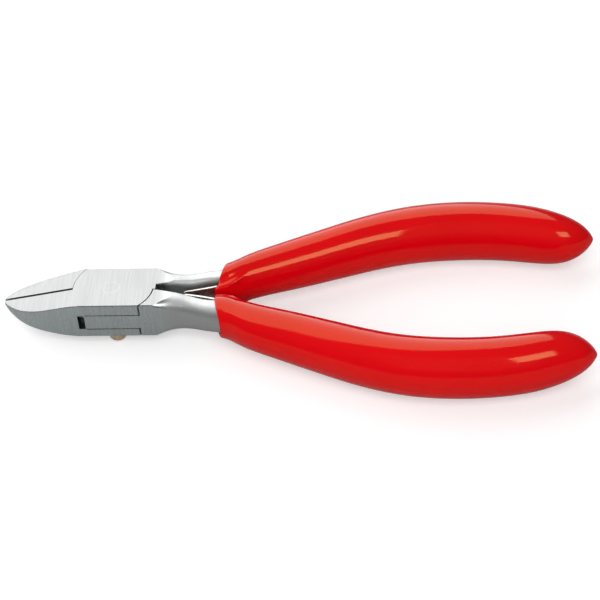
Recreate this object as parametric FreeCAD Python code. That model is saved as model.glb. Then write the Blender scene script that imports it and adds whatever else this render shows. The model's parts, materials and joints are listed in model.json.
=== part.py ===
import FreeCAD, Part
import math
import os

# Sprue nippers: a box-joint side cutter with a double leaf spring and dip-coated handles.
# Millimetres. Modelled about the pivot: +X runs to the handles, +Y across the head, +Z out of the
# flush face, z = 0 at mid-thickness. At the end the whole is moved so that its box stands on z = 0.
# The box lever carries the -Y jaw and the +Y handle, the tongue lever the +Y jaw and the -Y handle.

V = FreeCAD.Vector

# ---- head -------------------------------------------------------------------------------------
head_half_width = 5.95
head_top = 4.2                # the two faces and the two sides of the head are ground flat
head_bottom = -4.45
head_front = -5.0
head_rear = 9.05
head_edge_round = 0.25
side_edge_start = 5.5         # edges that reach past this are on the outside
jaw_gap = 0.62                # between the two cutting edges at rest
jaw_tip = -23.3
throat = -8.4
edge_at_tip = 0.88            # height of the cutting edges at the tip and at the throat
edge_at_throat = 3.85
# Sections of the closed jaws: x, half width, top at the middle, top at the edge, bottom at the edge
jaw_sections = [
    (jaw_tip, 0.55, edge_at_tip, 0.8, 0.2),
    (-22.9, 1.1, 0.96, 0.83, -0.05),
    (-22.2, 1.86, 1.1, 0.88, -0.58),
    (-21.3, 2.62, 1.27, 0.98, -1.1),
    (-19.5, 3.75, 1.63, 1.14, -2.02),
    (-17.7, 4.42, 1.98, 1.45, -2.7),
    (-15.9, 4.88, 2.34, 1.83, -3.2),
    (-13.7, 5.2, 2.78, 2.4, -3.7),
    (-11.5, 5.4, 3.22, 3.0, -4.15),
    (-9.7, 5.54, 3.57, 3.48, -4.4),
    (-7.9, 5.74, 3.93, 3.92, -4.58),
    (head_front, 6.15, 4.5, 4.5, -4.8),
]
bottom_crown = 0.1
notch_depth_below_top = 0.45  # height of the flush land above the notch on the underside
notch_sections = [(-24.0, 1.6), (-14.0, 3.0), (-9.2, 1.9)]

# ---- box joint --------------------------------------------------------------------------------
cheek_front_radius = 8.2      # rounded ends of the cheeks: at the front, about the pivot
cheek_rear_radius = 7.63      # at the rear of the upper cheek, about a point behind the pivot
cheek_rear_centre = 1.37
lower_rear_radius = 8.4       # at the rear of the lower cheek, about the pivot
shoulder_clearance = 0.12     # from the front ends to the tongue lever's hollow shoulder
rear_clearance = 0.28         # and from the rear ends
tongue_radius = 8.05
tongue_step_x = 5.4           # the tongue's two free corners are stepped back to this plane
tongue_step_y = 2.6
slot_top = 1.40
slot_bottom = -2.30
slot_clearance = 0.05         # above and below the tongue
slot_reach = 9.6              # past both ends of the tongue
slot_over = 7.0               # past the side faces
seam_relief_height = 0.14     # shallow step that opens the slot's seams at the side faces
seam_relief_depth = 0.6
seam_relief_back = 5.2        # how far it runs towards the slot's end wall
slot_wall_middle = 8.45       # slot end walls, at the centre line and at the side face
slot_wall_side = 6.85
seam_y = -0.6                 # where the rear seam leaves the round cheek for the handle gap
seam_gap = 0.25
spur_width = 2.0
pin_radius = 1.8
pin_clearance = 0.03
opening_angle = 15.0
closing_angle = 1.2

# ---- stop screw -------------------------------------------------------------------------------
stop_x = 0.85
stop_y = -3.85
stop_shank_radius = 0.9
stop_head_radius = 1.85
stop_head_height = 1.8
stop_head_round = 0.55
stop_reach = 1.1              # how far its end stands in the tongue's groove
stop_play = 0.15
stop_slot_width = 0.55
stop_slot_depth = 0.6

# ---- handles, given for the +Y side -------------------------------------------------------------
# Steel sections: x, inner face, outer face, top, bottom, inner corner, outer corner in y and in z
shank_sections = [
    (7.0, 0.85, 6.2, 4.6, -4.85, 0.4, 0.4, 0.4),
    (9.4, 0.87, 6.05, 4.52, -4.77, 0.5, 0.9, 0.8),
    (11.6, 1.05, 5.75, 4.33, -4.55, 0.7, 2.4, 1.8),
    (14.0, 1.3, 5.6, 4.12, -4.3, 0.9, 2.7, 2.6),
    (17.0, 1.75, 6.1, 3.6, -3.9, 1.1, 2.5, 2.9),
    (20.5, 2.75, 7.1, 3.4, -3.7, 1.1, 2.4, 2.9),
    (25.0, 3.3, 8.45, 3.4, -3.6, 0.9, 3.2, 3.0),
    (28.0, 4.15, 10.2, 3.6, -3.65, 0.8, 3.8, 3.1),
    (34.0, 6.2, 13.7, 3.9, -3.9, 0.9, 4.6, 3.4),
    (42.0, 8.9, 17.4, 4.3, -4.3, 2.5, 4.9, 3.9),
]
ground_end = 18.0             # how far the grinding of the faces and of the sides reaches
side_ground_end = 11.5
handle_gap_start = 9.55       # front of the gap between the two shanks
wall = 1.4                    # dip coat thickness
tang_end = 96.0
tang_end_section = (tang_end, 16.4, 20.8, 2.4, -2.4, 1.8, 1.9, 2.0)
tang_lead = 5.0               # first tang section taken from the grip, past the last shank section
tang_inner_round = 0.85       # tang corner sizes as shares of its half width and half height
tang_outer_round = 0.9
# Grip sections: x, centre, half width, half height
grip_sections = [
    (20.5, 4.5, 4.0, 4.3),
    (22.5, 4.82, 4.22, 4.5),
    (25.0, 5.35, 4.5, 4.75),
    (28.0, 7.0, 4.75, 5.0),
    (32.0, 9.1, 5.02, 5.2),
    (37.0, 11.15, 5.4, 5.5),
    (43.0, 13.5, 5.75, 5.8),
    (51.0, 16.7, 6.05, 6.15),
    (61.0, 19.9, 6.2, 6.4),
    (72.0, 21.3, 6.15, 6.6),
    (82.0, 21.0, 6.1, 6.5),
    (90.0, 19.65, 5.8, 6.15),
    (95.0, 18.7, 5.05, 5.35),
    (98.5, 18.2, 3.75, 4.0),
    (100.8, 17.95, 2.05, 2.2),
    (101.8, 17.85, 0.6, 0.65),
]
grip_front = 21.7             # at the centre line; the front face slants back towards the outside
grip_front_slant = 0.28
grip_front_depth = 14.0       # how far out the slanted cut goes
grip_front_past = 0.5         # how far it goes past the centre line

# ---- leaf springs -------------------------------------------------------------------------------
leaf_thickness = 0.5
leaf_half_width = 2.35
leaf_line = [(15.2, 0.37), (18.4, 1.0), (22.0, 1.9), (25.0, 2.75), (28.0, 3.75), (34.0, 5.8)]
leaf_pocket_play = 0.15
leaf_swing = 0.6              # room in the grip's mouth for the leaf to bend towards the centre
leaf_mouth = [(20.0, 1.35), (27.0, 3.4)]    # the leaf's line where that room starts and ends
rivet_stations = [(29.3, 4.19), (32.3, 5.22)]
rivet_radius = 0.75
rivet_head_radius = 1.25
rivet_head_height = 0.5
rivet_depth = 2.6

# ---- place of the pivot in the finished part ----------------------------------------------------
widest_half_height = max(row[3] for row in grip_sections)
pivot_to_middle = (grip_sections[-1][0] + jaw_tip) / 2.0
finished_place = V(-pivot_to_middle, 0, widest_half_height)

bezier_quarter = 0.5523       # handle length that makes a Bezier curve a quarter ellipse
least_rise = 0.001            # keeps the middle of an arc off the line between its ends
tall = 9.0                    # above and below everything, for cutting shapes
wide = 40.0                   # past everything in plan


def quarter(start, corner, end):
    """Quarter ellipse from start to end, tangent to the sides that meet in corner."""
    curve = Part.BezierCurve()
    near_start = start + (corner - start) * bezier_quarter
    near_end = end + (corner - end) * bezier_quarter
    curve.setPoles([start, near_start, near_end, end])
    return curve.toShape()


def line(start, end):
    return Part.makeLine(start, end)


def arch(start, middle, end):
    return Part.Arc(start, middle, end).toShape()


def jaw_wire(x, half, top_mid, top_edge, bottom_edge):
    """Section of the closed jaws: crowned top and bottom between flat sides."""
    top_left = V(x, -half, top_edge)
    top_right = V(x, half, top_edge)
    low_right = V(x, half, bottom_edge)
    low_left = V(x, -half, bottom_edge)
    top = arch(top_left, V(x, 0, top_mid + least_rise), top_right)
    low = arch(low_right, V(x, 0, bottom_edge - bottom_crown), low_left)
    return Part.Wire([top, line(top_right, low_right), low, line(low_left, top_left)])


def shank_wire(x, inner, outer, top, bottom, in_r, out_y, out_z, side):
    """Section of one steel handle; side is +1 or -1 for the handle's side of the centre line."""
    a = V(x, side * (inner + in_r), top)
    b = V(x, side * (outer - out_y), top)
    c = V(x, side * outer, top - out_z)
    d = V(x, side * outer, bottom + out_z)
    e = V(x, side * (outer - out_y), bottom)
    f = V(x, side * (inner + in_r), bottom)
    g = V(x, side * inner, bottom + in_r)
    h = V(x, side * inner, top - in_r)
    edges = [
        line(a, b), quarter(b, V(x, side * outer, top), c),
        line(c, d), quarter(d, V(x, side * outer, bottom), e),
        line(e, f), quarter(f, V(x, side * inner, bottom), g),
        line(g, h), quarter(h, V(x, side * inner, top), a),
    ]
    return Part.Wire(edges)


def oval_wire(x, centre, half_y, half_z, side):
    """Oval section of one grip."""
    y = side * centre
    top, low = V(x, y, half_z), V(x, y, -half_z)
    right, left = V(x, y + half_y, 0), V(x, y - half_y, 0)
    edges = [
        quarter(top, V(x, y + half_y, half_z), right),
        quarter(right, V(x, y + half_y, -half_z), low),
        quarter(low, V(x, y - half_y, -half_z), left),
        quarter(left, V(x, y - half_y, half_z), top),
    ]
    return Part.Wire(edges)


def block(x0, x1, y0, y1, z0, z1):
    return Part.makeBox(x1 - x0, y1 - y0, z1 - z0, V(x0, y0, z0))


def prism(points, z0, z1):
    """Upright solid over a plan outline of (x, y) points."""
    wire = Part.makePolygon([V(x, y, z0) for x, y in points + points[:1]])
    return Part.Face(wire).extrude(V(0, 0, z1 - z0))


def pillar(radius, z0, z1, x=0.0, y=0.0):
    return Part.makeCylinder(radius, z1 - z0, V(x, y, z0))


def ground_box(x0, x1):
    """The room that the grinding leaves for the head."""
    w = head_half_width
    return block(x0, x1, -w, w, head_bottom, head_top)


def make_head_blank():
    """Both closed jaws and the head as one lump, before it is divided between the levers."""
    jaws = Part.makeLoft([jaw_wire(*row) for row in jaw_sections], True, False)
    jaws = jaws.common(ground_box(jaw_tip - 1, head_front))
    return jaws.fuse(ground_box(head_front, head_rear)).removeSplitter()


def make_notch():
    """Wedge under the cutting edges: the jaws are flush above it and bevelled below."""
    wires = []
    for x, half in notch_sections:
        along = (x - jaw_tip) / (throat - jaw_tip)
        edge = edge_at_tip + (edge_at_throat - edge_at_tip) * along
        apex = edge - notch_depth_below_top
        points = [V(x, 0, apex), V(x, half, -5.5), V(x, -half, -5.5), V(x, 0, apex)]
        wires.append(Part.makePolygon(points))
    return Part.makeLoft(wires, True, True)


def make_shank(side):
    """One handle's steel, forged a little proud of the head and then ground level with it."""
    rows = list(shank_sections)
    for x, centre, half_y, half_z in grip_sections:
        if shank_sections[-1][0] + tang_lead < x < tang_end:
            a, b = half_y - wall, half_z - wall
            corners = (a * tang_inner_round, a * tang_outer_round, b * tang_outer_round)
            rows.append((x, centre - a, centre + a, b, -b, *corners))
    rows.append(tang_end_section)
    forging = Part.makeLoft([shank_wire(*row, side) for row in rows], True, False)
    above = block(0, ground_end, -wide, wide, head_top, tall)
    below = block(0, ground_end, -wide, wide, -tall, head_bottom)
    near, far = sorted((side * head_half_width, side * wide))
    beside = block(0, side_ground_end, near, far, -tall, tall)
    return forging.cut(above.fuse([below, beside]))


def leaf_points(offset, side):
    """The leaf's line moved sideways by offset, towards the outside if positive."""
    points = []
    count = len(leaf_line)
    for i, (x, y) in enumerate(leaf_line):
        x0, y0 = leaf_line[max(i - 1, 0)]
        x1, y1 = leaf_line[min(i + 1, count - 1)]
        run = math.hypot(x1 - x0, y1 - y0)
        nx, ny = -(y1 - y0) / run, (x1 - x0) / run
        points.append(V(x + nx * offset, side * (y + ny * offset), 0))
    return points


def strip(near, far, half_z):
    """Solid between two plan curves, half_z above and below the mid-plane."""
    first, second = Part.BSplineCurve(), Part.BSplineCurve()
    first.interpolate(near)
    second.interpolate(far)
    wire = Part.Wire([
        first.toShape(), line(near[-1], far[-1]),
        second.toShape(), line(far[0], near[0]),
    ])
    face = Part.Face(wire)
    solid = face.extrude(V(0, 0, 2 * half_z))
    solid.translate(V(0, 0, -half_z))
    return solid


def rivet_direction(side):
    x0, y0 = leaf_line[-2]
    x1, y1 = leaf_line[-1]
    run = math.hypot(x1 - x0, y1 - y0)
    return V(-(y1 - y0) / run, side * (x1 - x0) / run, 0)


def make_rivets(side, shank_radius, grow=0.0):
    """The two rivets of one leaf: a low domed head on the leaf and a shank into the tang."""
    way = rivet_direction(side)
    rivets = []
    for x, y in rivet_stations:
        seat = V(x, side * y, 0) - way * (leaf_thickness / 2 + 0.01)
        shank = Part.makeCylinder(shank_radius, rivet_depth + leaf_thickness, seat, way)
        rise = rivet_head_height + grow
        ball_radius = ((rivet_head_radius + grow) ** 2 + rise ** 2) / (2 * rise)
        ball = Part.makeSphere(ball_radius, seat + way * (ball_radius - rise))
        cap = Part.makeCylinder(rivet_head_radius + grow, rise, seat, way * -1)
        rivets.append(ball.common(cap).fuse(shank).removeSplitter())
    return rivets


def make_leaf(side):
    half = leaf_thickness / 2
    leaf = strip(leaf_points(-half, side), leaf_points(half, side), leaf_half_width)
    way = rivet_direction(side)
    for x, y in rivet_stations:
        start = V(x, side * y, 0) - way
        leaf = leaf.cut(Part.makeCylinder(rivet_radius + 0.1, 2.0, start, way))
    return leaf


def make_leaf_pocket(side):
    """Slit in the grip around the leaf's root, wider at its mouth so that the leaf can bend."""
    outer = leaf_points(leaf_thickness / 2 + leaf_pocket_play, side)
    inner = leaf_points(-leaf_thickness / 2 - leaf_pocket_play, side)
    pocket = strip(inner, outer, leaf_half_width + leaf_pocket_play)
    near = leaf_thickness / 2 + leaf_pocket_play
    (x0, y0), (x1, y1) = leaf_mouth
    mouth = [(x0, y0 - near - leaf_swing), (x1, y1 - near), (x1, y1), (x0, y0)]
    mouth = [(x, side * y) for x, y in mouth]
    half_z = leaf_half_width + leaf_pocket_play
    return pocket.fuse(prism(mouth, -half_z, half_z))


def make_grip(side, tang):
    wires = [oval_wire(*row, side) for row in grip_sections]
    coat = Part.makeLoft(wires, True, False)
    past, deep = grip_front_past, grip_front_depth
    front = [(0, -past), (grip_front, -past), (grip_front, 0),
             (grip_front + grip_front_slant * deep, deep), (0, deep)]
    coat = coat.cut(prism([(x, side * y) for x, y in front], -tall, tall))
    coat = coat.cut(tang)
    coat = coat.cut(make_leaf_pocket(side))
    for rivet in make_rivets(side, rivet_radius, 0.1):
        coat = coat.cut(rivet)
    return biggest(coat)


def biggest(shape):
    """The main lump of a cut shape."""
    return max(shape.Solids, key=lambda solid: solid.Volume)


def slot_band():
    """Plan outline of everything that the slot takes out of the box lever."""
    far, over = slot_reach, slot_over
    middle, edge = slot_wall_middle, slot_wall_side
    slope = (middle - edge) / head_half_width
    edge = middle - slope * over
    return [(-edge, -over), (-middle, 0), (-far, 0), (-far, over),
            (edge, over), (middle, 0), (far, 0), (far, -over)]


def make_tongue(z0, z1):
    """Flat disc that turns in the slot, with its sides and its two free corners cut back."""
    w = head_half_width
    disc = pillar(tongue_radius, z0, z1).common(block(-wide, wide, -w, w, z0, z1))
    front = block(-wide, -tongue_step_x, -wide, -tongue_step_y, z0, z1)
    rear = block(tongue_step_x, wide, tongue_step_y, wide, z0, z1)
    return disc.cut(front.fuse(rear))


def cheek_ends(front_margin, rear_margin):
    """The upright cylinders that bound the cheeks, larger by the margins."""
    front = pillar(cheek_front_radius + front_margin, -tall, tall)
    front = front.common(block(-wide, 0, -wide, wide, -tall, tall))
    rear = pillar(cheek_rear_radius + rear_margin, slot_bottom, tall, cheek_rear_centre)
    low = pillar(lower_rear_radius + rear_margin, -tall, slot_bottom)
    return front.fuse(rear.fuse(low).common(block(0, wide, -wide, wide, -tall, tall)))


def make_seam_relief():
    """Shallow steps in the cheeks along the slot's four seams, at the two side faces."""
    steps = []
    for side in (1, -1):
        x0, x1 = sorted((side * seam_relief_back, -side * slot_reach))
        y0, y1 = sorted((side * (head_half_width - seam_relief_depth), side * slot_over))
        steps.append(block(x0, x1, y0, y1, slot_top, slot_top + seam_relief_height))
        steps.append(block(x0, x1, y0, y1, slot_bottom - seam_relief_height, slot_bottom))
    return steps


def make_box_lever(blank, shank):
    half_gap = jaw_gap / 2
    jaw = blank.common(block(-wide, 0, -wide, -half_gap, -tall, tall))
    cheeks = blank.common(cheek_ends(0, 0))
    rear = block(0, head_rear, -half_gap, wide, -tall, tall).common(blank)
    spur = block(0, handle_gap_start, seam_y, spur_width, head_bottom, head_top)
    lever = jaw.fuse([cheeks, rear, spur, shank])
    lever = lever.cut(prism(slot_band(), slot_bottom, slot_top))
    lever = lever.cut(make_seam_relief())
    lever = lever.cut(pillar(pin_radius, -tall, tall))
    lever = lever.cut(pillar(stop_shank_radius, -tall, slot_bottom + 1, stop_x, stop_y))
    return biggest(lever.cut(make_notch()).removeSplitter())


def make_groove():
    """Arc groove under the tongue that the stop screw's end runs in."""
    reach = math.hypot(stop_x, stop_y)
    rest = math.degrees(math.atan2(stop_y, stop_x))
    half = stop_shank_radius + stop_play
    z0, z1 = slot_bottom - 1, slot_bottom + slot_clearance + stop_reach
    first, last = rest - closing_angle, rest + opening_angle
    ring = pillar(reach + half, z0, z1).cut(pillar(reach - half, z0, z1))
    far = 3 * reach
    wedge = [(0, 0)]
    for angle in (first, last):
        wedge.append((far * math.cos(math.radians(angle)), far * math.sin(math.radians(angle))))
    groove = ring.common(prism(wedge, z0, z1))
    for angle in (first, last):
        x = reach * math.cos(math.radians(angle))
        y = reach * math.sin(math.radians(angle))
        groove = groove.fuse(pillar(half, z0, z1, x, y))
    return groove


def make_tongue_lever(blank, shank):
    half_gap = jaw_gap / 2
    tongue_low, tongue_top = slot_bottom + slot_clearance, slot_top - slot_clearance
    jaw = blank.common(block(-wide, 0, half_gap, wide, -tall, tall))
    rear = blank.common(block(0, head_rear, -wide, seam_y - seam_gap, -tall, tall))
    lever = jaw.fuse([rear, shank])
    ends = cheek_ends(shoulder_clearance, rear_clearance)
    lever = lever.cut(ends.cut(block(-wide, wide, -wide, wide, tongue_low, tongue_top)))
    lever = lever.fuse(make_tongue(tongue_low, tongue_top))
    lever = lever.cut(pillar(pin_radius + pin_clearance, -tall, tall))
    lever = lever.cut(make_groove())
    return biggest(lever.cut(make_notch()).removeSplitter())


def make_pin():
    return pillar(pin_radius, head_bottom, head_top)


def make_stop_screw():
    """Brass round-headed screw, its head below the lower cheek and its end in the groove."""
    low = head_bottom - stop_head_height
    head = pillar(stop_head_radius, low, head_bottom, stop_x, stop_y)
    rim = [edge for edge in head.Edges if edge.BoundBox.ZMax < low + 0.01 and edge.Length > 5]
    head = head.makeFillet(stop_head_round, rim)
    top = slot_bottom + slot_clearance + stop_reach - stop_play
    shank = pillar(stop_shank_radius, head_bottom, top, stop_x, stop_y)
    half = stop_slot_width / 2
    driver = block(stop_x - 3, stop_x + 3, stop_y - half, stop_y + half, low, low + stop_slot_depth)
    return head.fuse(shank).cut(driver).removeSplitter()


def is_outer(box):
    """True for an edge that lies along a side of the head or of a jaw."""
    near, far = sorted((abs(box.YMin), abs(box.YMax)))
    return near > 0.5 and far > side_edge_start


def is_rim(box):
    """True for an edge of the upper or the lower face, or of a jaw."""
    above, below = box.ZMin > slot_top + 0.2, box.ZMax < slot_bottom - 0.2
    return box.ZLength < head_top and (above or below or box.XMax < -6)


def long_edges(lever):
    """Middles of the long edges where the head's and the jaws' faces meet their sides."""
    places = []
    for edge in lever.Edges:
        box = edge.BoundBox
        long_enough = box.XLength > 2.0 and box.XMax < 10
        if long_enough and is_outer(box) and is_rim(box) and not is_seam(edge):
            places.append(edge.CenterOfMass)
    return places


def is_seam(edge):
    """True for the curved edges of the box joint's seams, which stay sharp."""
    return edge.Curve.TypeId == "Part::GeomCircle"


def round_edges(lever):
    """Take the sharpness off the long edges between the head's faces and its sides."""
    for place in long_edges(lever):
        edge = min(lever.Edges, key=lambda e: e.CenterOfMass.distanceToPoint(place))
        try:
            rounded = lever.makeFillet(head_edge_round, [edge])
        except Part.OCCError:
            print("edge left sharp near", place)
            continue
        if rounded.isValid() and len(rounded.Solids) == 1:
            lever = rounded.Solids[0]
        else:
            print("edge left sharp near", place)
    return lever


def build():
    """All nodes by name."""
    blank = make_head_blank()
    box_steel = make_shank(1)
    tongue_steel = make_shank(-1)
    nodes = {}
    nodes["box_lever"] = round_edges(make_box_lever(blank, box_steel))
    nodes["tongue_lever"] = round_edges(make_tongue_lever(blank, tongue_steel))
    nodes["pivot_pin"] = make_pin()
    nodes["stop_screw"] = make_stop_screw()
    for name, side, steel in (("box", 1, box_steel), ("tongue", -1, tongue_steel)):
        rivets = make_rivets(side, rivet_radius)
        nodes[name + "_grip"] = make_grip(side, steel)
        nodes[name + "_leaf_spring"] = make_leaf(side)
        nodes[name + "_spring_rivets"] = Part.makeCompound(rivets)
        nodes[name + "_lever"] = nodes[name + "_lever"].cut(rivets)
    return nodes


os.makedirs("parts", exist_ok=True)
for node, shape in build().items():
    shape.translate(finished_place)
    shape.exportStep("parts/" + node + ".step")
    box = shape.optimalBoundingBox()
    print(node, "solids", len(shape.Solids), "valid", shape.isValid(), "volume", round(shape.Volume, 1),
          "box", [round(v, 2) for v in (box.XMin, box.YMin, box.ZMin, box.XMax, box.YMax, box.ZMax)])
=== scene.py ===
"""Looks of the sprue nippers: ground steel levers, two leaf springs and a pair of dipped grips.

Lengths in the classes are millimetres from the pivot: x runs along the handles, y across the
tool and z out of the flush upper face. Frame.place() turns them into metres in the shared frame.
"""

import json
import logging
import math
from dataclasses import dataclass, field
from enum import Enum
from typing import Callable, Iterable, Sequence

import bmesh
import bpy
import numpy as np
from mathutils import Matrix, Vector


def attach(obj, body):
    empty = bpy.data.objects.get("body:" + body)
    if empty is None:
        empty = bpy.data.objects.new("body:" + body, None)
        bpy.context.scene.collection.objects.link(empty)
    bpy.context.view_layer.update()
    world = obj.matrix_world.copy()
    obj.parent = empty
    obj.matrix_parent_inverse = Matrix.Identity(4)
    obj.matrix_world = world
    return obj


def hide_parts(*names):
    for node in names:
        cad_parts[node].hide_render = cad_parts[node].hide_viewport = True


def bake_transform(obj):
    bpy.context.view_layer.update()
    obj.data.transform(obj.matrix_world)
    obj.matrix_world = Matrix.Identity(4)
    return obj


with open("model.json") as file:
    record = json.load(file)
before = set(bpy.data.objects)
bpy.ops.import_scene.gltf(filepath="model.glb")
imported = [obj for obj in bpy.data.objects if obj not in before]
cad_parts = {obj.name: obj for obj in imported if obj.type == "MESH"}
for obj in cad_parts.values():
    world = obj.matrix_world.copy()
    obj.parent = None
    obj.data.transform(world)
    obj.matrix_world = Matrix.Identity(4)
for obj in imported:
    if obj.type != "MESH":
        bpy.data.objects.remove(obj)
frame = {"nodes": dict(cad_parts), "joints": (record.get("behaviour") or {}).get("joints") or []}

LOG = logging.getLogger("nippers")
MM = 0.001

Point = tuple[float, float, float]
Colour = tuple[float, float, float]
Ring = list[Point]


class Side(Enum):
    """Side of the centre line that a handle, its leaf and its grip are on."""

    BOX = 1
    TONGUE = -1

    @property
    def sign(self) -> int:
        """+1 on the +y side, -1 on the -y side."""
        return self.value

    @property
    def lever_body(self) -> str:
        """Body of this side's lever."""
        return "box_side" if self is Side.BOX else "tongue_side"

    @property
    def leaf_body(self) -> str:
        """Body of this side's leaf spring."""
        return "box_leaf" if self is Side.BOX else "tongue_leaf"

    @property
    def prefix(self) -> str:
        """First word of this side's node names."""
        return "box" if self is Side.BOX else "tongue"


class Shading(Enum):
    """How a mesh's faces are lit."""

    SMOOTH = "smooth"
    CREASED = "creased"


# ---- frame and mesh helpers -----------------------------------------------------------------------


class Frame:
    """Place of the pivot in the shared frame."""

    def __init__(self, joints: Sequence[dict]) -> None:
        """Reads where the handles' joint sits.

        Args:
            joints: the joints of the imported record.
        """
        pivot = next(joint for joint in joints if joint["name"] == "handle_pivot")
        self.origin = Vector(pivot["pos_m"])

    def place(self, point: Iterable[float]) -> Vector:
        """Point given in millimetres from the pivot.

        Args:
            point: x, y and z in millimetres.

        Returns:
            The same point in metres in the shared frame.
        """
        return self.origin + Vector(point) * MM


class Curve:
    """Natural cubic spline through rows of numbers, the first of each row being the station."""

    def __init__(self, rows: Sequence[Sequence[float]]) -> None:
        """Solves for the spline's bend at each row.

        Args:
            rows: stations in rising order, each with its values.
        """
        table = np.array(rows, dtype=float)
        self.at = table[:, 0]
        self.values = table[:, 1:]
        count = len(self.at)
        gaps = np.diff(self.at)
        matrix = np.eye(count)
        right = np.zeros_like(self.values)
        slopes = np.diff(self.values, axis=0) / gaps[:, None]
        for i in range(1, count - 1):
            matrix[i, i - 1] = gaps[i - 1]
            matrix[i, i] = 2 * (gaps[i - 1] + gaps[i])
            matrix[i, i + 1] = gaps[i]
            right[i] = 6 * (slopes[i] - slopes[i - 1])
        self.bends = np.linalg.solve(matrix, right)

    def __call__(self, station: float) -> np.ndarray:
        """Values at a station.

        Args:
            station: where along the spline; it is held inside the first and last rows.

        Returns:
            One number for each column.
        """
        x = min(max(station, self.at[0]), self.at[-1])
        i = min(int(np.searchsorted(self.at, x, side="right")) - 1, len(self.at) - 2)
        gap = self.at[i + 1] - self.at[i]
        a, b = (self.at[i + 1] - x) / gap, (x - self.at[i]) / gap
        straight = a * self.values[i] + b * self.values[i + 1]
        bow = (a**3 - a) * self.bends[i] + (b**3 - b) * self.bends[i + 1]
        return straight + bow * gap * gap / 6


def smooth_step(low: float, high: float, value: float) -> float:
    """Eased 0 to 1 as value goes from low to high.

    Args:
        low: where the result is 0.
        high: where the result is 1.
        value: the value to place.

    Returns:
        A number from 0 to 1.
    """
    t = min(max((value - low) / (high - low), 0.0), 1.0)
    return t * t * (3 - 2 * t)


def bell(value: float, middle: float, width: float) -> float:
    """Rounded bump of height 1.

    Args:
        value: the value to place.
        middle: where the bump is highest.
        width: how far from the middle it has fallen to about a third.

    Returns:
        A number from 0 to 1.
    """
    return math.exp(-(((value - middle) / width) ** 2))


def skin(name: str, rings: Sequence[Ring], space: Frame, shading: Shading) -> bpy.types.Object:
    """Closed skin over a row of rings of equal count, with both ends capped.

    Args:
        name: name of the new object.
        rings: the rings in order, in millimetres from the pivot.
        space: where the pivot is.
        shading: whether the sharp edges are kept crisp.

    Returns:
        The new mesh object, in the shared frame.
    """
    build = bmesh.new()
    grid = [[build.verts.new(space.place(point)) for point in ring] for ring in rings]
    count = len(grid[0])
    for first, second in zip(grid, grid[1:]):
        for i in range(count):
            j = (i + 1) % count
            build.faces.new((first[i], first[j], second[j], second[i]))
    for ring in (grid[0], grid[-1]):
        centre = build.verts.new(sum((v.co for v in ring), Vector()) / count)
        for i in range(count):
            build.faces.new((ring[i], ring[(i + 1) % count], centre))
    bmesh.ops.recalc_face_normals(build, faces=build.faces)
    mesh = bpy.data.meshes.new(name)
    build.to_mesh(mesh)
    build.free()
    mesh.shade_smooth()
    if shading is Shading.CREASED:
        mesh.set_sharp_from_angle(angle=math.radians(40))
    piece = bpy.data.objects.new(name, mesh)
    bpy.context.scene.collection.objects.link(piece)
    return piece


# ---- shader helpers and shared node groups --------------------------------------------------------


class Tree:
    """Short names for putting nodes in a tree and joining them."""

    def __init__(self, tree: bpy.types.NodeTree) -> None:
        """Keeps the tree.

        Args:
            tree: a material's or a group's node tree.
        """
        self.tree = tree

    def add(self, kind: str, **settings: object) -> bpy.types.Node:
        """New node with some of its settings.

        Args:
            kind: the node's type name.
            settings: attributes of the node.

        Returns:
            The new node.
        """
        node = self.tree.nodes.new(kind)
        for key, value in settings.items():
            setattr(node, key, value)
        return node

    def join(self, source: bpy.types.NodeSocket, target: bpy.types.NodeSocket) -> None:
        """Links an output to an input."""
        self.tree.links.new(source, target)

    def feed(self, target: bpy.types.NodeSocket, value: object) -> None:
        """Links a socket, or sets a constant, whichever value is.

        Args:
            target: the input to fill.
            value: an output socket, a number, a colour or a vector.
        """
        if isinstance(value, bpy.types.NodeSocket):
            self.join(value, target)
        else:
            target.default_value = value

    def math(self, operation: str, *values: object) -> bpy.types.NodeSocket:
        """Result of a Math node.

        Args:
            operation: the node's operation.
            values: its inputs, as sockets or numbers.

        Returns:
            The node's output.
        """
        node = self.add("ShaderNodeMath", operation=operation)
        for socket, value in zip(node.inputs, values):
            self.feed(socket, value)
        return node.outputs[0]

    def spread(
        self, value: object, low: float, high: float, to_low: float = 0.0, to_high: float = 1.0
    ) -> bpy.types.NodeSocket:
        """Eased change from one range to another.

        Args:
            value: the socket to read.
            low: start of the range that is read.
            high: end of the range that is read.
            to_low: result at low.
            to_high: result at high.

        Returns:
            The mapped output.
        """
        node = self.add("ShaderNodeMapRange", interpolation_type="SMOOTHSTEP")
        for key, entry in zip(range(5), (value, low, high, to_low, to_high)):
            self.feed(node.inputs[key], entry)
        return node.outputs[0]

    def mix(self, factor: object, first: object, second: object) -> bpy.types.NodeSocket:
        """Blend of two colours.

        Args:
            factor: 0 for the first, 1 for the second.
            first: a colour or a socket.
            second: a colour or a socket.

        Returns:
            The blended colour.
        """
        node = self.add("ShaderNodeMix", data_type="RGBA")
        self.feed(node.inputs[0], factor)
        self.feed(node.inputs[6], rgba(first))
        self.feed(node.inputs[7], rgba(second))
        return node.outputs[2]

    def group(self, group: bpy.types.NodeTree, **values: object) -> bpy.types.Node:
        """Places a shared group.

        Args:
            group: the group's tree.
            values: its inputs by name, with _ for a space.

        Returns:
            The group node.
        """
        node = self.add("ShaderNodeGroup", node_tree=group)
        for key, value in values.items():
            self.feed(node.inputs[key.replace("_", " ")], value)
        return node


def rgba(value: object) -> object:
    """Colour with its alpha, or the socket unchanged."""
    if isinstance(value, bpy.types.NodeSocket):
        return value
    return (*value, 1.0)


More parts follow.
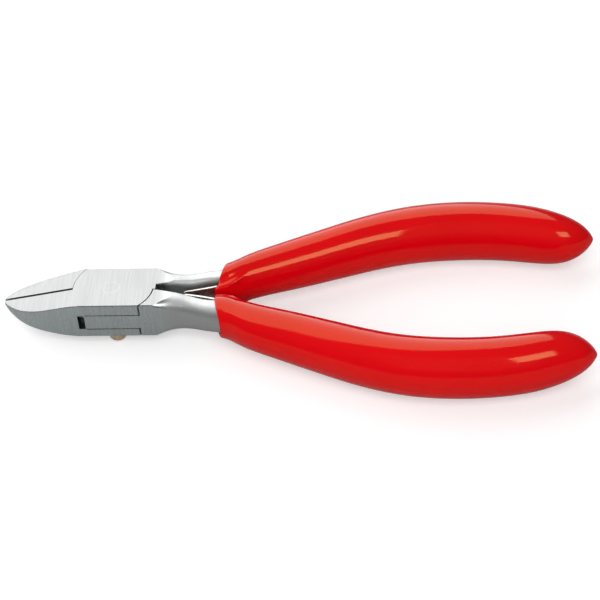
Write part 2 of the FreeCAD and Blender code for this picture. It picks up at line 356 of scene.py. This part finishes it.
class Effects:
    """Shader groups that more than one finish uses, each built once."""

    def __init__(self) -> None:
        """Builds the groups."""
        self.grain = self.build_grain()
        self.wear = self.build_wear()
        # painted shade for seams and recesses
        self.seam_shade = self.build_seam_shade()
        self.cloud = self.build_cloud()

    @staticmethod
    def start(
        name: str, inputs: Sequence[tuple[str, str, object]], outputs: Sequence[tuple[str, str]]
    ) -> tuple[Tree, bpy.types.Node, bpy.types.Node]:
        """Empty group with its sockets.

        Args:
            name: the group's name.
            inputs: name, socket type and default of each input.
            outputs: name and socket type of each output.

        Returns:
            The tree, its input node and its output node.
        """
        group = bpy.data.node_groups.new(name, "ShaderNodeTree")
        for label, kind, default in inputs:
            socket = group.interface.new_socket(label, in_out="INPUT", socket_type=kind)
            if default is not None:
                socket.default_value = default
        for label, kind in outputs:
            group.interface.new_socket(label, in_out="OUTPUT", socket_type=kind)
        tree = Tree(group)
        return tree, tree.add("NodeGroupInput"), tree.add("NodeGroupOutput")

    def build_grain(self) -> bpy.types.NodeTree:
        """Grinding lines: fine noise drawn out along two of the object's axes.

        Returns:
            A group with the outputs Height and Streaks.
        """
        tree, given, result = self.start(
            "grinding_grain",
            [
                ("Lines per mm", "NodeSocketFloat", 6.0),
                ("Drawn out", "NodeSocketFloat", 40.0),
            ],
            [("Height", "NodeSocketFloat"), ("Streaks", "NodeSocketFloat")],
        )
        place = tree.add("ShaderNodeTexCoord").outputs["Object"]
        across = tree.math("MULTIPLY", given.outputs["Lines per mm"], 1000.0)
        along = tree.math("DIVIDE", across, given.outputs["Drawn out"])
        stretch = tree.add("ShaderNodeCombineXYZ")
        tree.join(across, stretch.inputs[0])
        tree.join(along, stretch.inputs[1])
        tree.join(along, stretch.inputs[2])
        drawn = tree.add("ShaderNodeVectorMath", operation="MULTIPLY")
        tree.join(place, drawn.inputs[0])
        tree.join(stretch.outputs[0], drawn.inputs[1])
        fine = tree.add("ShaderNodeTexNoise")
        tree.join(drawn.outputs[0], fine.inputs["Vector"])
        fine.inputs["Scale"].default_value = 1.0
        fine.inputs["Detail"].default_value = 4.0
        fine.inputs["Roughness"].default_value = 0.65
        broad = tree.add("ShaderNodeTexNoise")
        tree.join(drawn.outputs[0], broad.inputs["Vector"])
        broad.inputs["Scale"].default_value = 0.6
        broad.inputs["Detail"].default_value = 2.0
        tree.join(fine.outputs[0], result.inputs["Height"])
        tree.join(tree.spread(broad.outputs[0], 0.3, 0.7), result.inputs["Streaks"])
        return tree.tree

    def build_wear(self) -> bpy.types.NodeTree:
        """Rubbed edges: where the surface turns within a short reach, broken up by noise.

        Returns:
            A group with the output Mask.
        """
        tree, given, result = self.start(
            "edge_wear",
            [("Reach", "NodeSocketFloat", 0.0003), ("Amount", "NodeSocketFloat", 1.0)],
            [("Mask", "NodeSocketFloat")],
        )
        eased = tree.add("ShaderNodeBevel", samples=6)
        tree.join(given.outputs["Reach"], eased.inputs["Radius"])
        true = tree.add("ShaderNodeNewGeometry").outputs["Normal"]
        agree = tree.add("ShaderNodeVectorMath", operation="DOT_PRODUCT")
        tree.join(eased.outputs[0], agree.inputs[0])
        tree.join(true, agree.inputs[1])
        turned = tree.spread(agree.outputs["Value"], 0.998, 0.90)
        noise = tree.add("ShaderNodeTexNoise")
        tree.join(tree.add("ShaderNodeTexCoord").outputs["Object"], noise.inputs["Vector"])
        noise.inputs["Scale"].default_value = 900.0
        noise.inputs["Detail"].default_value = 3.0
        broken = tree.math("MULTIPLY", turned, tree.spread(noise.outputs[0], 0.25, 0.6, 0.5, 1.0))
        tree.join(tree.math("MULTIPLY", broken, given.outputs["Amount"]), result.inputs["Mask"])
        return tree.tree

    def build_seam_shade(self) -> bpy.types.NodeTree:
        """Painted shade: darkens seams, recesses and under edges, wherever ambient occlusion finds them.

        Returns:
            A group with the output Mask.
        """
        tree, given, result = self.start(
            "seam_shade_painted",
            [("Reach", "NodeSocketFloat", 0.001), ("Amount", "NodeSocketFloat", 1.0)],
            [("Mask", "NodeSocketFloat")],
        )
        hidden = tree.add("ShaderNodeAmbientOcclusion", samples=8)
        tree.join(given.outputs["Reach"], hidden.inputs["Distance"])
        closed = tree.spread(hidden.outputs["AO"], 0.62, 0.08)
        tree.join(tree.math("MULTIPLY", closed, given.outputs["Amount"]), result.inputs["Mask"])
        return tree.tree

    def build_cloud(self) -> bpy.types.NodeTree:
        """Slow change over a surface, with finer flecks on it.

        Returns:
            A group with the outputs Cloud and Flecks.
        """
        tree, given, result = self.start(
            "surface_cloud",
            [("Size mm", "NodeSocketFloat", 12.0), ("Fleck size mm", "NodeSocketFloat", 0.4)],
            [("Cloud", "NodeSocketFloat"), ("Flecks", "NodeSocketFloat")],
        )
        place = tree.add("ShaderNodeTexCoord").outputs["Object"]
        for label, output in (("Size mm", "Cloud"), ("Fleck size mm", "Flecks")):
            noise = tree.add("ShaderNodeTexNoise")
            tree.join(place, noise.inputs["Vector"])
            tree.join(tree.math("DIVIDE", 1000.0, given.outputs[label]), noise.inputs["Scale"])
            noise.inputs["Detail"].default_value = 3.0
            tree.join(tree.spread(noise.outputs[0], 0.3, 0.7), result.inputs[output])
        return tree.tree


# ---- finishes -------------------------------------------------------------------------------------


def new_material(name: str) -> tuple[bpy.types.Material, Tree, bpy.types.Node]:
    """Empty node material with one Principled shader.

    Args:
        name: the material's name.

    Returns:
        The material, its tree and the shader node.
    """
    material = bpy.data.materials.new(name)
    material.use_nodes = True
    material.node_tree.nodes.clear()
    tree = Tree(material.node_tree)
    shader = tree.add("ShaderNodeBsdfPrincipled")
    output = tree.add("ShaderNodeOutputMaterial")
    tree.join(shader.outputs[0], output.inputs[0])
    return material, tree, shader


def bump(tree: Tree, shader: bpy.types.Node, height: object, strength: float, depth: float) -> None:
    """Fine relief on a shader's normal.

    Args:
        tree: the material's tree.
        shader: the Principled node.
        height: the socket with the relief, from 0 to 1.
        strength: how much of the relief shows.
        depth: height of the relief in metres.
    """
    node = tree.add("ShaderNodeBump")
    node.inputs["Strength"].default_value = strength
    node.inputs["Distance"].default_value = depth
    tree.feed(node.inputs["Height"], height)
    tree.join(node.outputs[0], shader.inputs["Normal"])


@dataclass(frozen=True)
class LeverSteel:
    """Ground steel: cross-ground head, satin handles, painted light and shade on the head's faces,
    flanks and seams.
    """

    name: str = "lever_steel"
    # painted light and shade: head's flat faces darker, side flanks lighter, for how the lamps fall
    face: Colour = (0.318, 0.324, 0.323)
    handle: Colour = (0.58, 0.595, 0.59)
    painted_flank_tone: Colour = (0.57, 0.635, 0.625)
    worn: Colour = (0.60, 0.60, 0.60)
    # near-black colour of the painted shade in seams and recesses
    seam_shade: Colour = (0.012, 0.012, 0.013)
    rough: float = 0.27
    shank_rough: float = 0.50
    head_end_x: float = 10.0
    fade: float = 4.0
    grain_depth: float = 0.000012

    def make(self, effects: Effects, space: Frame) -> bpy.types.Material:
        """Builds the material.

        Args:
            effects: the shared groups.
            space: where the pivot is.

        Returns:
            The material.
        """
        material, tree, shader = new_material(self.name)
        shader.inputs["Metallic"].default_value = 1.0
        grain = tree.group(effects.grain, Lines_per_mm=5.0, Drawn_out=40.0)
        cloud = tree.group(effects.cloud, Size_mm=9.0, Fleck_size_mm=0.25)
        wear = tree.group(effects.wear, Reach=0.0002, Amount=0.3).outputs["Mask"]
        # painted shade: mask of seams and recesses, which also roughens them
        seam_shade = tree.group(effects.seam_shade, Reach=0.0012, Amount=1.0).outputs["Mask"]
        place = tree.add("ShaderNodeTexCoord")
        split = tree.add("ShaderNodeSeparateXYZ")
        tree.join(place.outputs["Object"], split.inputs[0])
        end = space.place((self.head_end_x, 0, 0)).x
        head = tree.spread(split.outputs[0], end, end + self.fade * MM, 1.0, 0.0)
        facing = tree.add("ShaderNodeSeparateXYZ")
        tree.join(place.outputs["Normal"], facing.inputs[0])
        # painted light and shade: the head's colour follows which way the surface faces
        flat = tree.spread(tree.math("ABSOLUTE", facing.outputs[2]), 0.35, 0.9)
        tone = tree.mix(flat, self.painted_flank_tone, self.face)
        tone = tree.mix(head, self.handle, tone)
        shade = tree.spread(grain.outputs["Streaks"], 0.0, 1.0, 0.93, 1.0)
        streak = tree.mix(head, (1.0, 1.0, 1.0), self.grey(tree, shade))
        tone = self.times(tree, tone, streak)
        tone = tree.mix(wear, tone, self.worn)
        # painted shade: seams and recesses turn near black
        tone = tree.mix(seam_shade, tone, self.seam_shade)
        tree.join(tone, shader.inputs["Base Color"])
        base = tree.spread(head, 0.0, 1.0, self.shank_rough, self.rough)
        rough = tree.spread(grain.outputs["Height"], 0.3, 0.7, -0.05, 0.07)
        rough = tree.math("ADD", rough, base)
        rough = tree.math("ADD", rough, tree.math("MULTIPLY", cloud.outputs["Cloud"], 0.05))
        tree.join(tree.math("ADD", rough, tree.math("MULTIPLY", seam_shade, 0.3)), shader.inputs["Roughness"])
        height = tree.math("MULTIPLY", grain.outputs["Height"], tree.math("ADD", head, 0.12))
        bump(tree, shader, height, 0.55, self.grain_depth)
        return material

    @staticmethod
    def grey(tree: Tree, value: object) -> bpy.types.NodeSocket:
        """Grey colour of a given brightness."""
        node = tree.add("ShaderNodeCombineColor")
        for socket in node.inputs[:3]:
            tree.feed(socket, value)
        return node.outputs[0]

    @staticmethod
    def times(tree: Tree, first: object, second: object) -> bpy.types.NodeSocket:
        """Product of two colours."""
        node = tree.add("ShaderNodeMix", data_type="RGBA", blend_type="MULTIPLY")
        node.inputs[0].default_value = 1.0
        tree.feed(node.inputs[6], first)
        tree.feed(node.inputs[7], second)
        return node.outputs[2]


@dataclass(frozen=True)
class PlainMetal:
    """Turned or rolled metal of one colour, with faint marks."""

    name: str
    tone: Colour
    deep: Colour
    rough: float
    lines_per_mm: float = 4.0
    relief: float = 0.000004

    def make(self, effects: Effects) -> bpy.types.Material:
        """Builds the material.

        Args:
            effects: the shared groups.

        Returns:
            The material.
        """
        material, tree, shader = new_material(self.name)
        shader.inputs["Metallic"].default_value = 1.0
        grain = tree.group(effects.grain, Lines_per_mm=self.lines_per_mm, Drawn_out=12.0)
        cloud = tree.group(effects.cloud, Size_mm=3.0, Fleck_size_mm=0.2)
        wear = tree.group(effects.wear, Reach=0.00015, Amount=0.4).outputs["Mask"]
        # painted shade: mask of seams and recesses
        seam_shade = tree.group(effects.seam_shade, Reach=0.0008, Amount=0.9).outputs["Mask"]
        tone = tree.mix(cloud.outputs["Cloud"], self.deep, self.tone)
        bright = tuple(min(1.0, part * 1.25) for part in self.tone)
        tone = tree.mix(wear, tone, bright)
        # painted shade: seams and recesses darkened to a near-black copy of the deep tone
        tone = tree.mix(seam_shade, tone, tuple(part * 0.06 for part in self.deep))
        tree.join(tone, shader.inputs["Base Color"])
        rough = tree.spread(cloud.outputs["Flecks"], 0.0, 1.0, self.rough - 0.04, self.rough + 0.06)
        tree.join(rough, shader.inputs["Roughness"])
        bump(tree, shader, grain.outputs["Height"], 0.4, self.relief)
        return material


@dataclass(frozen=True)
class DipCoat:
    """Glossy vinyl that the handles were dipped in."""

    tone: Colour = (0.75, 0.0010, 0.0062)
    deep: Colour = (0.69, 0.0010, 0.0055)
    scuffed: Colour = (0.80, 0.03, 0.02)
    rough: float = 0.075

    def make(self, effects: Effects) -> bpy.types.Material:
        """Builds the material.

        Args:
            effects: the shared groups.

        Returns:
            The material.
        """
        material, tree, shader = new_material("dip_coat")
        shader.inputs["IOR"].default_value = 1.5
        shader.inputs["Specular IOR Level"].default_value = 0.30
        shader.inputs["Specular Tint"].default_value = (1.0, 0.92, 0.42, 1.0)
        cloud = tree.group(effects.cloud, Size_mm=22.0, Fleck_size_mm=0.5)
        wear = tree.group(effects.wear, Reach=0.0003, Amount=0.15).outputs["Mask"]
        # painted shade: mask of creases and recesses
        seam_shade = tree.group(effects.seam_shade, Reach=0.0006, Amount=0.5).outputs["Mask"]
        tone = tree.mix(cloud.outputs["Cloud"], self.deep, self.tone)
        tone = tree.mix(wear, tone, self.scuffed)
        # painted shade: creases and recesses darkened to a quarter of the deep tone
        tone = tree.mix(seam_shade, tone, tuple(part * 0.25 for part in self.deep))
        tree.join(tone, shader.inputs["Base Color"])
        rough = tree.spread(cloud.outputs["Flecks"], 0.0, 1.0, self.rough - 0.01, self.rough + 0.02)
        tree.join(tree.math("ADD", rough, tree.math("MULTIPLY", wear, 0.2)), shader.inputs["Roughness"])
        bump(tree, shader, cloud.outputs["Flecks"], 0.05, 0.00001)
        return material


@dataclass(frozen=True)
class FloorPaper:
    """Pale studio paper, which throws back less light than it shows."""

    tone: Colour = (0.70, 0.70, 0.70)
    speck: Colour = (0.68, 0.68, 0.68)
    mirrored: Colour = (0.44, 0.44, 0.44)
    bounced: Colour = (0.60, 0.60, 0.60)
    glow: float = 0.42

    def make(self, effects: Effects) -> bpy.types.Material:
        """Builds the material.

        Args:
            effects: the shared groups.

        Returns:
            The material.
        """
        material, tree, shader = new_material("floor_paper")
        cloud = tree.group(effects.cloud, Size_mm=60.0, Fleck_size_mm=0.6)
        path = tree.add("ShaderNodeLightPath")
        tone = tree.mix(cloud.outputs["Flecks"], self.speck, self.tone)
        tone = tree.mix(path.outputs["Is Glossy Ray"], tone, self.mirrored)
        tone = tree.mix(path.outputs["Is Diffuse Ray"], tone, self.bounced)
        tree.join(tone, shader.inputs["Base Color"])
        shader.inputs["Emission Color"].default_value = (1.0, 1.0, 1.0, 1.0)
        glow = tree.math("MULTIPLY", path.outputs["Is Camera Ray"], self.glow)
        tree.join(glow, shader.inputs["Emission Strength"])
        shader.inputs["Roughness"].default_value = 0.9
        shader.inputs["Specular IOR Level"].default_value = 0.2
        bump(tree, shader, cloud.outputs["Flecks"], 0.05, 0.00002)
        return material


# ---- pieces ---------------------------------------------------------------------------------------


@dataclass
class Grip:
    """One dipped grip: oval, with a pointed nose and a lobe over the leaf's root."""

    side: Side
    space: Frame
    # x, centre, half width, half height
    body: list[tuple[float, float, float, float]] = field(
        default_factory=lambda: [
            (20.5, 4.5, 4.0, 4.3),
            (22.5, 4.82, 4.22, 4.5),
            (25.0, 5.35, 4.5, 4.75),
            (28.0, 7.0, 4.84, 4.95),
            (32.0, 8.95, 5.08, 5.15),
            (37.0, 10.98, 5.38, 5.45),
            (43.0, 13.42, 5.72, 5.75),
            (51.0, 16.7, 6.0, 6.1),
            (61.0, 19.92, 6.12, 6.3),
            (72.0, 21.32, 6.08, 6.48),
            (82.0, 21.0, 6.0, 6.42),
            (90.0, 19.6, 5.98, 6.4),
        ]
    )
    # x, centre, half width, half height of the last rows
    tail: tuple[tuple[float, float, float, float], ...] = (
        (96.0, 18.35, 6.0, 6.4),
        (102.0, 18.1, 6.0, 6.4),
    )
    nose_start: float = 80.0
    nose_end: float = 102.0
    nose_bluntness: float = 4.2
    nose_point: float = 0.72
    front: float = 21.6
    front_slant: float = 0.33
    front_curve: float = -0.011
    lobe_step: float = 0.47
    lip: float = 0.45
    lip_steps: int = 6
    mouth_play: float = 0.12
    mouth_wall: float = 0.5
    mouth_squareness: float = 3.4
    mouth_steps: tuple[float, ...] = (7.0, 1.5, 0.12, 0.0)
    # x, inner, outer, half height of the steel handle with the leaf beside it
    steel: list[tuple[float, float, float, float]] = field(
        default_factory=lambda: [
            (20.5, 1.05, 7.1, 3.4),
            (25.0, 2.35, 8.45, 3.45),
            (28.0, 3.4, 10.2, 3.6),
            (34.0, 5.5, 13.7, 3.9),
        ]
    )
    lobe_height: float = 0.42
    lobe_valley: float = 0.22
    lobe_angle: tuple[float, float] = (31.0, 46.0)
    lobe_width: float = 9.0
    lobe_fade: float = 25.6
    lobe_end: float = 29.4
    around: int = 160
    along: int = 260
    nose_crowding: float = 1.6

    def __post_init__(self) -> None:
        """Prepares the splines."""
        self.outline = Curve((*self.body, *self.tail))
        self.shank = Curve(self.steel)

    def lobe(self, x: float, angle: float) -> float:
        """How far the lobe over the leaf's root lifts the surface.

        Args:
            x: station along the grip.
            angle: degrees from the side that faces the other grip.

        Returns:
            The lift in millimetres.
        """
        share = 1 - smooth_step(self.lobe_fade, self.lobe_end, x)
        lean = smooth_step(self.front + 0.6, self.lobe_end, x)
        ridge = self.lobe_angle[0] + (self.lobe_angle[1] - self.lobe_angle[0]) * lean
        high = self.lobe_height * bell(angle, ridge, self.lobe_width)
        low = self.lobe_valley * bell(angle, ridge + 2.1 * self.lobe_width, 1.2 * self.lobe_width)
        return share * (high - low)

    def from_inner(self, turn: float) -> float:
        """Degrees from the side that faces the other grip."""
        return math.degrees(math.acos(max(-1.0, min(1.0, -self.side.sign * math.cos(turn)))))

    def surface(self, x: float, turn: float, inset: float = 0.0) -> Point:
        """Point of the outer skin.

        Args:
            x: station along the grip.
            turn: angle round the section, in radians from +y.
            inset: how far inside the skin.

        Returns:
            x, y and z.
        """
        centre, half_y, half_z = self.outline(x)
        t = min(max((x - self.nose_start) / (self.nose_end - self.nose_start), 0.0), 1.0)
        nose = (1 - t**self.nose_bluntness) ** self.nose_point
        cos, sin = math.cos(turn), math.sin(turn)
        lift = self.lobe(x, self.from_inner(turn)) - inset
        y = self.side.sign * centre + (half_y * nose + lift) * cos
        return (x, y, (half_z * nose + lift) * sin)

    def front_x(self, turn: float) -> float:
        """Station of the slanted front face at one angle round the grip."""
        x = self.front
        for _ in range(6):
            out = abs(self.surface(x, turn)[1])
            x = self.front + self.front_slant * out + self.front_curve * out * out
        ridge = self.lobe_angle[0]
        return x + self.lobe_step * smooth_step(ridge - 9, ridge + 9, self.from_inner(turn))

    def mouth(self, x: float, turn: float) -> tuple[float, float]:
        """Outline of the opening that the steel fills.

        Args:
            x: station along the grip.
            turn: angle round the section, in radians from +y.

        Returns:
            y and z.
        """
        inner, outer, half_z = self.shank(x)
        centre = self.side.sign * (inner + outer) / 2
        half_y = (outer - inner) / 2 + self.mouth_play
        power = 2 / self.mouth_squareness
        cos, sin = math.cos(turn), math.sin(turn)
        y = centre + half_y * math.copysign(abs(cos) ** power, cos)
        z = (half_z + self.mouth_play) * math.copysign(abs(sin) ** power, sin)
        middle, wide, tall = self.outline(x)
        middle *= self.side.sign
        reach = math.hypot((y - middle) / (wide - self.mouth_wall), z / (tall - self.mouth_wall))
        if reach > 1:
            y = middle + (y - middle) / reach
            z = z / reach
        return y, z

    def rings(self) -> list[Ring]:
        """Rings from the bottom of the mouth, over the lip and along to the nose.

        Returns:
            The rings in order.
        """
        turns = [2 * math.pi * i / self.around for i in range(self.around)]
        fronts = [self.front_x(turn) for turn in turns]
        made: list[Ring] = []
        for depth in self.mouth_steps:
            made.append(
                [(x + depth, *self.mouth(x + depth, turn)) for x, turn in zip(fronts, turns)]
            )
        for step in range(1, self.lip_steps + 1):
            bend = math.radians(90 * (1 - step / self.lip_steps))
            inset = self.lip * (1 - math.cos(bend))
            ahead = self.lip * (1 - math.sin(bend))
            ring = []
            for x, turn in zip(fronts, turns):
                _, y, z = self.surface(x + ahead, turn, inset)
                ring.append((x + ahead, y, z))
            made.append(ring)
        for step in range(1, self.along + 1):
            share = 1 - (1 - step / self.along) ** self.nose_crowding
            ring = []
            for x, turn in zip(fronts, turns):
                start = x + self.lip
                ring.append(self.surface(start + (self.nose_end - 0.02 - start) * share, turn))
            made.append(ring)
        return made

    def build(self) -> bpy.types.Object:
        """Builds the grip, puts it on its lever and hides the plain one.

        Returns:
            The grip.
        """
        name = f"{self.side.prefix}_dipped_grip"
        grip = skin(name, self.rings(), self.space, Shading.SMOOTH)
        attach(grip, self.side.lever_body)
        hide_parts(f"{self.side.prefix}_grip")
        return grip

    def dress(self, grip: bpy.types.Object, coat: bpy.types.Material) -> None:
        """Gives the grip its coat."""
        grip.data.materials.append(coat)


@dataclass
class LeafSpring:
    """Flat spring that leans from one handle to the centre line."""

    side: Side
    space: Frame
    line: list[tuple[float, float]] = field(
        default_factory=lambda: [
            (15.2, 0.37),
            (18.4, 1.0),
            (22.0, 1.9),
            (25.0, 2.75),
            (28.0, 3.75),
            (34.0, 5.8),
        ]
    )
    thickness: float = 0.5
    half_width: float = 2.35
    edge_round: float = 0.12
    tip_round: float = 0.6
    bend_start: float = 28.5
    bend_end: float = 20.5
    steps: int = 60
    tip_crowding: float = 1.5

    def section(self, shrink: float) -> list[tuple[float, float]]:
        """Rounded oblong across the leaf.

        Args:
            shrink: how far its edges are drawn in, for the rounded tip.

        Returns:
            Offsets across the leaf's face and up its edge.
        """
        half_t = self.thickness / 2
        half_w = self.half_width - shrink
        points = []
        for quarter, (side_t, side_w) in enumerate(((1, 1), (-1, 1), (-1, -1), (1, -1))):
            for step in range(5):
                turn = math.radians(90 * quarter + 22.5 * step)
                across = side_t * (half_t - self.edge_round) + self.edge_round * math.cos(turn)
                up = side_w * (half_w - self.edge_round) + self.edge_round * math.sin(turn)
                points.append((across, up))
        return points

    def rings(self) -> list[Ring]:
        """Rings from the tip to the root.

        Returns:
            The rings in order.
        """
        path = Curve(self.line)
        first, last = self.line[0][0], self.line[-1][0]
        made: list[Ring] = []
        for step in range(self.steps + 1):
            share = (step / self.steps) ** self.tip_crowding
            x = first + (last - first) * share
            y = float(path(x)[0])
            before, after = max(x - 0.05, first), min(x + 0.05, last)
            rise = float(path(after)[0] - path(before)[0])
            along = Vector((after - before, rise)).normalized()
            back = max(0.0, self.tip_round - (x - first))
            shrink = self.tip_round - math.sqrt(max(0.0, self.tip_round**2 - back**2))
            ring = []
            for across, up in self.section(shrink):
                ring.append((x - along.y * across, self.side.sign * (y + along.x * across), up))
            made.append(ring)
        return made

    def build(self) -> bpy.types.Object:
        """Builds the leaf and hides the plain one.

        Returns:
            The leaf.
        """
        name = f"{self.side.prefix}_bent_leaf"
        leaf = skin(name, self.rings(), self.space, Shading.CREASED)
        path = Curve(self.line)
        start = self.space.place((self.bend_start, self.side.sign * path(self.bend_start)[0], 0))
        end = self.space.place((self.bend_end, self.side.sign * path(self.bend_end)[0], 0))
        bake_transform(leaf)
        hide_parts(f"{self.side.prefix}_leaf_spring")
        return leaf

    def dress(self, leaf: bpy.types.Object, steel: bpy.types.Material) -> None:
        """Gives the leaf its finish."""
        leaf.data.materials.append(steel)


@dataclass
class SteelWork:
    """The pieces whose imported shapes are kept: levers, pivot pin, stop screw and rivets."""

    nodes: dict[str, bpy.types.Object]
    lever_nodes: tuple[str, ...] = ("box_lever", "tongue_lever")
    pin_node: str = "pivot_pin"
    screw_node: str = "stop_screw"
    rivet_nodes: tuple[str, ...] = ("box_spring_rivets", "tongue_spring_rivets")

    def dress(self, finish_of: Callable[[str], bpy.types.Material]) -> None:
        """Gives each piece its finish.

        Args:
            finish_of: looks a finish up by its slot.
        """
        slots = {name: "lever_steel" for name in self.lever_nodes}
        slots |= {name: "rivet_steel" for name in self.rivet_nodes}
        slots |= {self.pin_node: "pin_steel", self.screw_node: "brass"}
        for name, slot in slots.items():
            mesh = self.nodes[name].data
            mesh.materials.clear()
            mesh.materials.append(finish_of(slot))
            LOG.info("%s wears %s", name, slot)


# ---- studio ---------------------------------------------------------------------------------------


@dataclass(frozen=True)
class Panel:
    """Soft rectangular light, given in metres from the tool."""

    name: str
    centre: Point
    edge: Point
    width: float
    depth: float
    power: float
    mirrored: bool = True
    lighting: bool = True

    def hang(self, target: Vector) -> None:
        """Puts the light up, facing the tool.

        Args:
            target: where it faces.
        """
        data = bpy.data.lights.new(self.name, "AREA")
        data.shape = "RECTANGLE"
        data.size = self.width
        data.size_y = self.depth
        data.energy = self.power
        lamp = bpy.data.objects.new(self.name, data)
        lamp.visible_glossy = self.mirrored
        lamp.visible_diffuse = self.lighting
        back = Vector(self.centre).normalized()
        across = Vector(self.edge)
        across = (across - back * across.dot(back)).normalized()
        up = back.cross(across)
        turn = Matrix((across, up, back)).transposed().to_4x4()
        lamp.matrix_world = Matrix.Translation(target + Vector(self.centre)) @ turn
        bpy.context.scene.collection.objects.link(lamp)


@dataclass
class Studio:
    """Camera, floor and lights."""

    space: Frame
    target: Point = (40.0, -0.15, 0.0)
    azimuth: float = 7.56
    elevation: float = 42.0
    roll: float = -5.78
    distance: float = 516.8
    lens: float = 146.67
    floor_size: float = 4.0
    horizon: float = 0.019
    zenith: float = 0.0025
    horizon_end: float = 0.6
    sheen_low: float = 0.10
    sheen_high: float = 0.22
    backdrop: float = 0.9
    panels: tuple[Panel, ...] = (
        Panel("back_panel", (-0.52, 0.58, 0.62), (0.8, 0.6, 0.0), 2.0, 1.5, 23.0, lighting=False),
        Panel("back_wash", (-0.50, 0.56, 0.60), (0.8, 0.6, 0.0), 2.0, 1.5, 12.5, mirrored=False),
        Panel(
            "strip_panel",
            (0.56, -0.64, 0.92),
            (1.0, 0.4, 0.0),
            0.54,
            0.46,
            4.7,
            lighting=False,
        ),
        Panel("fill_panel", (0.1, -1.0, 1.1), (1.0, 0.0, 0.0), 1.6, 1.4, 22.0, mirrored=False),
    )

    def shoot(self) -> None:
        """Sets the camera up."""
        azimuth, elevation = math.radians(self.azimuth), math.radians(self.elevation)
        back = Vector(
            (
                math.sin(azimuth) * math.cos(elevation),
                -math.cos(azimuth) * math.cos(elevation),
                math.sin(elevation),
            )
        )
        level = Vector((0, 0, 1)).cross(back).normalized()
        up = back.cross(level)
        roll = math.radians(self.roll)
        across = level * math.cos(roll) + up * math.sin(roll)
        upward = up * math.cos(roll) - level * math.sin(roll)
        data = bpy.data.cameras.new("camera")
        data.lens = self.lens
        data.sensor_width = 36.0
        data.clip_start = 0.01
        camera = bpy.data.objects.new("camera", data)
        turn = Matrix((across, upward, back)).transposed().to_4x4()
        stand = self.space.place(self.target) + back * self.distance * MM
        camera.matrix_world = Matrix.Translation(stand) @ turn
        bpy.context.scene.collection.objects.link(camera)
        bpy.context.scene.camera = camera

    def light(self) -> None:
        """Hangs the panels and sets the room: pale to look at, dim as a source of light."""
        for panel in self.panels:
            panel.hang(self.space.place(self.target))
        world = bpy.data.worlds.new("room")
        world.use_nodes = True
        tree = Tree(world.node_tree)
        up = tree.add("ShaderNodeSeparateXYZ")
        tree.join(tree.add("ShaderNodeTexCoord").outputs["Generated"], up.inputs[0])
        level = tree.spread(up.outputs[2], 0.0, self.horizon_end, self.horizon, self.zenith)
        path = tree.add("ShaderNodeLightPath").outputs
        sheen = tree.spread(up.outputs[2], 0.0, 0.9, self.sheen_low, self.sheen_high)
        sheen = tree.math("MULTIPLY", path["Is Glossy Ray"], sheen)
        seen = tree.math("MULTIPLY", path["Is Camera Ray"], self.backdrop)
        level = tree.math("MAXIMUM", level, tree.math("MAXIMUM", sheen, seen))
        background = world.node_tree.nodes["Background"]
        background.inputs[0].default_value = (1.0, 1.0, 1.0, 1.0)
        tree.join(level, background.inputs[1])
        bpy.context.scene.world = world
        bpy.context.scene.view_settings.view_transform = "Standard"

    def floor(self, paper: bpy.types.Material) -> None:
        """Lays the floor under the tool.

        Args:
            paper: its finish.
        """
        build = bmesh.new()
        bmesh.ops.create_grid(build, x_segments=8, y_segments=8, size=self.floor_size / 2)
        mesh = bpy.data.meshes.new("floor")
        build.to_mesh(mesh)
        build.free()
        mesh.materials.append(paper)
        floor = bpy.data.objects.new("floor", mesh)
        floor.location.z = -0.0002
        bpy.context.scene.collection.objects.link(floor)


def make_finishes(space: Frame, effects: Effects) -> dict[str, bpy.types.Material]:
    """Builds every finish of the tool.

    Args:
        space: where the pivot is.
        effects: the shared groups.

    Returns:
        The materials by slot.
    """
    finishes = {"dip_coat": DipCoat().make(effects)}
    for ground in (LeverSteel(), LeverSteel("pin_steel")):
        finishes[ground.name] = ground.make(effects, space)
    rolled = (
        PlainMetal("spring_steel", (0.62, 0.61, 0.57), (0.50, 0.49, 0.46), 0.26),
        PlainMetal("rivet_steel", (0.58, 0.58, 0.57), (0.48, 0.48, 0.47), 0.3),
        PlainMetal("brass", (0.90, 0.71, 0.49), (0.78, 0.60, 0.41), 0.35),
    )
    for metal in rolled:
        finishes[metal.name] = metal.make(effects)
    return finishes


def main() -> None:
    """Builds the looks and reports each piece."""
    logging.basicConfig(level=logging.INFO, format="%(name)s: %(message)s")
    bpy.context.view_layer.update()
    space = Frame(frame["joints"])
    effects = Effects()
    finishes = make_finishes(space, effects)
    SteelWork(frame["nodes"]).dress(lambda slot: finishes[slot])
    grips = (
        Grip(Side.BOX, space),
        Grip(
            Side.TONGUE,
            space,
            tail=((96.0, 18.2, 6.0, 6.4), (102.0, 17.75, 6.0, 6.4)),
            front=22.16,
            front_slant=0.014,
            front_curve=0.016,
            lobe_step=0.0,
        ),
    )
    for grip in grips:
        piece = grip.build()
        grip.dress(piece, finishes["dip_coat"])
        LOG.info("%s: %d faces", piece.name, len(piece.data.polygons))
        leaf = LeafSpring(grip.side, space)
        piece = leaf.build()
        leaf.dress(piece, finishes["spring_steel"])
        LOG.info("%s: %d faces", piece.name, len(piece.data.polygons))
    studio = Studio(space)
    studio.shoot()
    studio.light()
    studio.floor(FloorPaper().make(effects))


if __name__ == "__main__":
    main()
